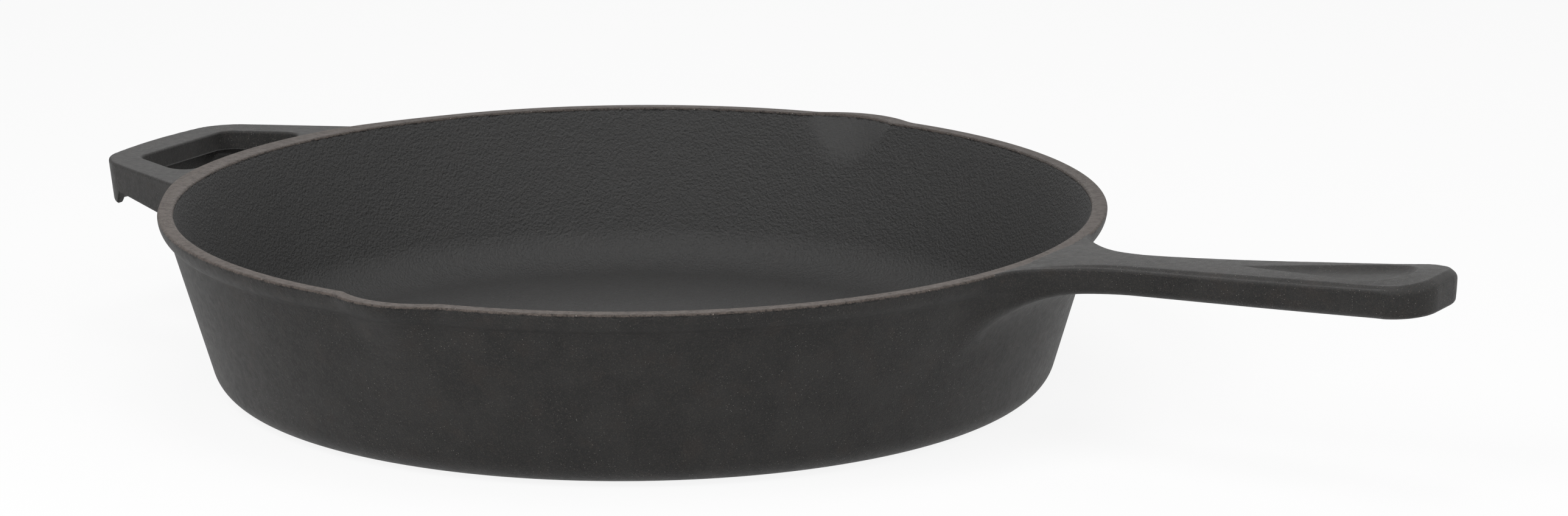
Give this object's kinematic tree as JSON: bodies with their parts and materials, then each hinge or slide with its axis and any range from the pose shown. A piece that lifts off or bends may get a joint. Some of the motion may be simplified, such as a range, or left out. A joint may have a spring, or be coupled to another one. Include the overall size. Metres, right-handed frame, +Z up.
{
  "type": "cast iron skillet",
  "caption": "Round cast iron frying pan with sloping sides, pour spouts, a long handle with a teardrop recess and a helper handle opposite.",
  "frame": {"origin": "centre of the flat underside of the base, on the surface that the pan stands on", "axes": "+Z up, +X along the long handle, so the helper handle is at -X and the pour spouts are at about -Y and +Y"},
  "size_m": [0.475, 0.3135, 0.0672],
  "materials": {
    "cast_iron": "seasoned black, fine sand-cast grain, satin",
    "ground_rim": "ground flat, brownish grey, matt"
  },
  "bodies": {
    "root": {"pan_floor": "cast_iron", "heel_ring": "cast_iron", "side_wall": "cast_iron", "handle_side_rim": "ground_rim", "helper_side_rim": "ground_rim", "front_pour_spout": "cast_iron", "rear_pour_spout": "cast_iron", "handle_root": "cast_iron", "handle_shank": "cast_iron", "handle_grip": "cast_iron", "helper_crossbar": "cast_iron", "helper_front_arm": "cast_iron", "helper_rear_arm": "cast_iron"}
  },
  "joints": []
}
